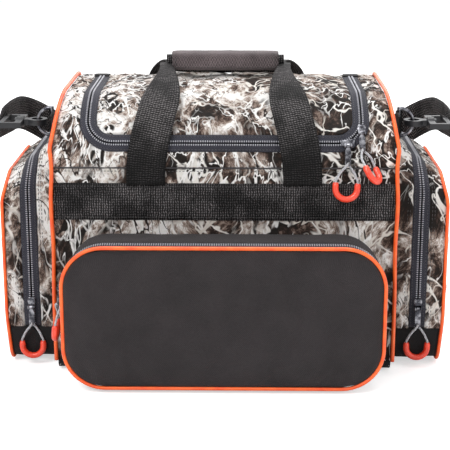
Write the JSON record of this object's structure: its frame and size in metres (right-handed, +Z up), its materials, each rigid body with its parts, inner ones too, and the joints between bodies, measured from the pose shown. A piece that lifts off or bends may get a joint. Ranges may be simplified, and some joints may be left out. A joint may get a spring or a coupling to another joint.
{
  "type": "soft tackle bag",
  "caption": "Soft-sided tackle bag with zipped lid, folding front pocket, zipped side pockets, webbing handles and a swivelling shoulder strap.",
  "frame": {"origin": "centre of the main body's base, on the surface it stands on", "axes": "+X to the right, +Y from front to back, +Z up; the front pocket faces -Y"},
  "size_m": [0.506, 0.31, 0.321],
  "materials": {
    "camo_fabric": "woven polyester printed with a mottled reed pattern",
    "charcoal_fabric": "plain woven polyester, matte",
    "base_fabric": "coarse coated fabric",
    "webbing": "ribbed woven webbing",
    "piping": "smooth corded piping",
    "zip_tape": "woven zip tape with a coil",
    "zip_metal": "dark nickel, satin",
    "pull_cord": "braided cord",
    "pull_rubber": "moulded rubber, satin",
    "black_plastic": "moulded acetal, satin",
    "board": "sheet plastic"
  },
  "bodies": {
    "body": {"body_front_panel": "camo_fabric", "body_back_panel": "camo_fabric", "base_panel": "base_fabric", "base_board": "board", "right_end_panel": "camo_fabric", "left_end_panel": "camo_fabric", "top_border": "camo_fabric", "end_piping": "piping", "front_band": "webbing", "rear_band": "webbing", "lid_zip_body_tape": "zip_tape", "front_handle_anchors": "webbing", "rear_handle_anchors": "webbing", "front_pocket_gusset": "charcoal_fabric", "front_pocket_lower_face": "charcoal_fabric", "front_pocket_lower_piping": "piping", "front_pocket_zip_inner": "zip_tape", "left_pocket_shell": "camo_fabric", "right_pocket_shell": "camo_fabric", "side_pocket_zip_inner": "zip_tape", "ring_tabs": "webbing", "d_rings": "zip_metal", "snap_hooks": "black_plastic"},
    "lid": {"lid_panel": "camo_fabric", "lid_zip_lid_tape": "zip_tape"},
    "front_handle": {"front_handle_webbing": "webbing", "grip_wrap": "charcoal_fabric"},
    "rear_handle": {"rear_handle_webbing": "webbing"},
    "strap": {"strap_eyes": "black_plastic", "strap_webbing": "webbing", "strap_slide": "black_plastic"},
    "front_flap": {"front_pocket_flap": "charcoal_fabric", "front_pocket_flap_piping": "piping", "front_pocket_zip_outer": "zip_tape"},
    "left_flap": {"left_pocket_flap": "camo_fabric", "left_pocket_piping": "piping", "left_pocket_zip_outer": "zip_tape"},
    "right_flap": {"right_pocket_flap": "camo_fabric", "right_pocket_piping": "piping", "right_pocket_zip_outer": "zip_tape"},
    "lid_front_runner": {"lid_front_slider": "zip_metal"},
    "lid_front_pull": {"lid_front_pull_tab": "zip_metal", "lid_front_pull_cord": "pull_cord", "lid_front_pull_grip": "pull_rubber"},
    "lid_corner_runner": {"lid_corner_slider": "zip_metal"},
    "lid_corner_pull": {"lid_corner_pull_tab": "zip_metal", "lid_corner_pull_cord": "pull_cord", "lid_corner_pull_grip": "pull_rubber"},
    "left_pocket_runner": {"left_pocket_slider": "zip_metal"},
    "left_pocket_pull": {"left_pocket_pull_tab": "zip_metal", "left_pocket_pull_cord": "pull_cord", "left_pocket_pull_grip": "pull_rubber"},
    "right_pocket_runner": {"right_pocket_slider": "zip_metal"},
    "right_pocket_pull": {"right_pocket_pull_tab": "zip_metal", "right_pocket_pull_cord": "pull_cord", "right_pocket_pull_grip": "pull_rubber"},
    "front_pocket_runner": {"front_pocket_slider": "zip_metal"},
    "front_pocket_pull": {"front_pocket_pull_tab": "zip_metal", "front_pocket_pull_cord": "pull_cord", "front_pocket_pull_grip": "pull_rubber"}
  },
  "joints": [
    {"name": "lid_open", "type": "hinge", "parent": "body", "child": "lid", "pos_m": [0, 0.062, 0.284], "axis": [-1, 0, 0], "range_deg": [0, 95]},
    {"name": "front_handle_fold", "type": "hinge", "parent": "body", "child": "front_handle", "pos_m": [0, -0.1113, 0.205], "axis": [1, 0, 0], "range_deg": [0, 133.5]},
    {"name": "rear_handle_fold", "type": "hinge", "parent": "body", "child": "rear_handle", "pos_m": [0, 0.1113, 0.205], "axis": [-1, 0, 0], "range_deg": [0, 133.5]},
    {"name": "strap_swing", "type": "hinge", "parent": "body", "child": "strap", "pos_m": [0, -0.03, 0.25], "axis": [1, 0, 0], "range_deg": [0, 180]},
    {"name": "front_flap_open", "type": "hinge", "parent": "body", "child": "front_flap", "pos_m": [0, -0.168, 0.085], "axis": [1, 0, 0], "range_deg": [0, 60]},
    {"name": "left_flap_open", "type": "hinge", "parent": "body", "child": "left_flap", "pos_m": [-0.232, 0, 0.04], "axis": [0, -1, 0], "range_deg": [0, 85]},
    {"name": "right_flap_open", "type": "hinge", "parent": "body", "child": "right_flap", "pos_m": [0.232, 0, 0.04], "axis": [0, 1, 0], "range_deg": [0, 85]},
    {"name": "lid_front_zip", "type": "slide", "parent": "lid", "child": "lid_front_runner", "axis": [1, 0, 0], "range_m": [-0.009, 0]},
    {"name": "lid_front_pull_swing", "type": "hinge", "parent": "lid_front_runner", "child": "lid_front_pull", "pos_m": [0.124, -0.10849, 0.24149], "axis": [-1, 0, 0], "range_deg": [0, 90]},
    {"name": "lid_corner_zip", "type": "hinge", "parent": "lid", "child": "lid_corner_runner", "pos_m": [0.138, -0.038, 0.214], "axis": [-1, 0, 0], "range_deg": [0, 50]},
    {"name": "lid_corner_pull_swing", "type": "hinge", "parent": "lid_corner_runner", "child": "lid_corner_pull", "pos_m": [0.138, -0.10264, 0.25331], "axis": [-1, 0, 0], "range_deg": [0, 80]},
    {"name": "left_pocket_zip", "type": "slide", "parent": "left_flap", "child": "left_pocket_runner", "axis": [0, 0, 1], "range_m": [0, 0.105]},
    {"name": "left_pocket_pull_swing", "type": "hinge", "parent": "left_pocket_runner", "child": "left_pocket_pull", "pos_m": [-0.203, -0.0906, 0.063], "axis": [-1, 0, 0], "range_deg": [0, 110]},
    {"name": "right_pocket_zip", "type": "slide", "parent": "right_flap", "child": "right_pocket_runner", "axis": [0, 0, 1], "range_m": [0, 0.105]},
    {"name": "right_pocket_pull_swing", "type": "hinge", "parent": "right_pocket_runner", "child": "right_pocket_pull", "pos_m": [0.203, -0.0906, 0.063], "axis": [-1, 0, 0], "range_deg": [0, 110]},
    {"name": "front_pocket_zip", "type": "hinge", "parent": "front_flap", "child": "front_pocket_runner", "pos_m": [-0.118, -0.151, 0.109], "axis": [0, 1, 0], "range_deg": [0, 85]},
    {"name": "front_pocket_pull_swing", "type": "hinge", "parent": "front_pocket_runner", "child": "front_pocket_pull", "pos_m": [-0.1636, -0.151, 0.106], "axis": [0, 1, 0], "range_deg": [0, 100]}
  ],
  "couplings": [
    {"joint": "front_handle_fold", "follows": "lid_open", "ratio": 1.4},
    {"joint": "rear_handle_fold", "follows": "lid_open", "ratio": 1.4}
  ]
}
